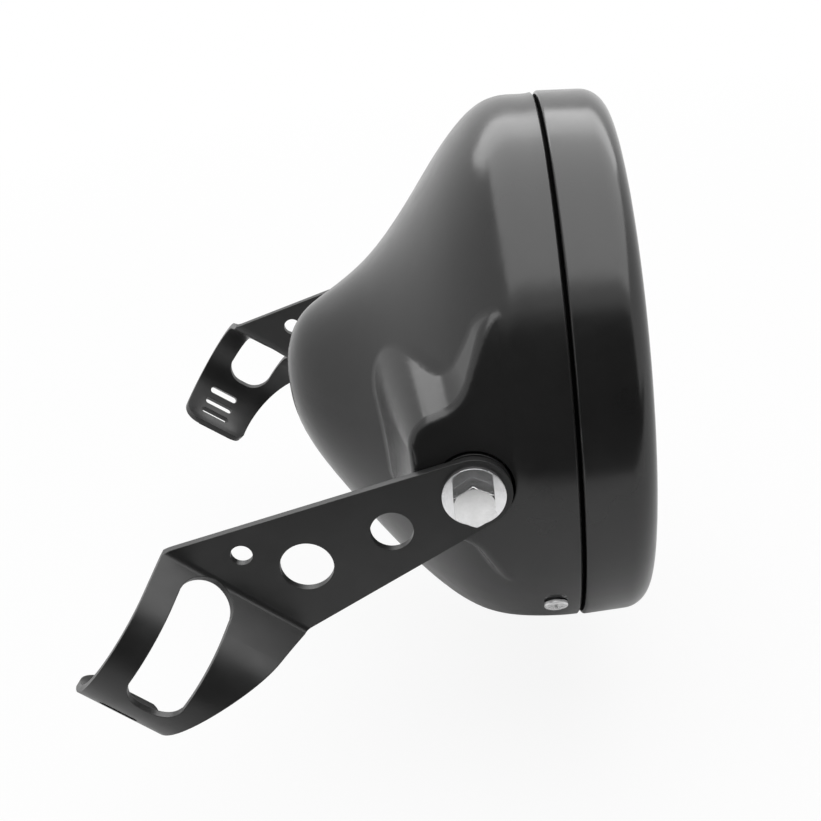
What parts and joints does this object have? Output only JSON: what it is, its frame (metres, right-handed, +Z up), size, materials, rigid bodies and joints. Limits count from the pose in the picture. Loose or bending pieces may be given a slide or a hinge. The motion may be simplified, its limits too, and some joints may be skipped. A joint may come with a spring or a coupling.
{
  "type": "round motorcycle headlight",
  "caption": "Black bell-shaped round headlight with a trim ring, domed lens and folded side brackets that tilt on bolts and strap round the fork tubes.",
  "frame": {"origin": "where the lamp's axis meets the line through the two side bolts", "axes": "+X the way the light shines, +Y towards the rider's left, +Z up"},
  "size_m": [0.1888, 0.2358, 0.1806],
  "materials": {
    "gloss_black": "smooth gloss black paint with a fine orange-peel",
    "gloss_black_ring": "gloss black paint",
    "satin_black": "satin black powder coat",
    "clear_glass": "clear pressed glass",
    "bulb_quartz": "clear quartz glass",
    "mirror_metal": "bright vacuum-coated mirror",
    "black_rubber": "matt moulded rubber",
    "spring_steel": "bright spring steel",
    "bulb_metal": "plain rolled steel",
    "bulb_brass": "plain brass",
    "zinc_steel": "zinc plated",
    "screw_steel": "bright plated",
    "bolt_steel": "bright plated",
    "washer_steel": "bright plated"
  },
  "bodies": {
    "lamp": {"shell": "gloss_black", "trim_ring": "gloss_black_ring", "lens": "clear_glass", "lens_gasket": "black_rubber", "reflector": "mirror_metal", "retaining_clips": "spring_steel", "bulb_glass": "bulb_quartz", "bulb_base": "bulb_metal", "bulb_terminals": "bulb_brass", "bulb_clip": "spring_steel", "dust_boot": "black_rubber", "ring_lugs": "zinc_steel", "ring_hook": "zinc_steel", "ring_screws": "screw_steel", "wire_grommet": "black_rubber", "right_bolt": "bolt_steel", "left_bolt": "bolt_steel", "right_flat_washer": "washer_steel", "left_flat_washer": "washer_steel", "right_spacer": "satin_black", "left_spacer": "satin_black", "right_weld_nut": "zinc_steel", "left_weld_nut": "zinc_steel"},
    "right_arm": {"right_bracket": "satin_black"},
    "left_arm": {"left_bracket": "satin_black"}
  },
  "joints": [
    {"name": "right_arm_tilt", "type": "hinge", "parent": "lamp", "child": "right_arm", "pos_m": [0, -0.08975, 0], "axis": [0, 1, 0], "range_deg": [-40, 60]},
    {"name": "left_arm_tilt", "type": "hinge", "parent": "lamp", "child": "left_arm", "pos_m": [0, 0.08975, 0], "axis": [0, 1, 0], "range_deg": [-40, 60]}
  ]
}
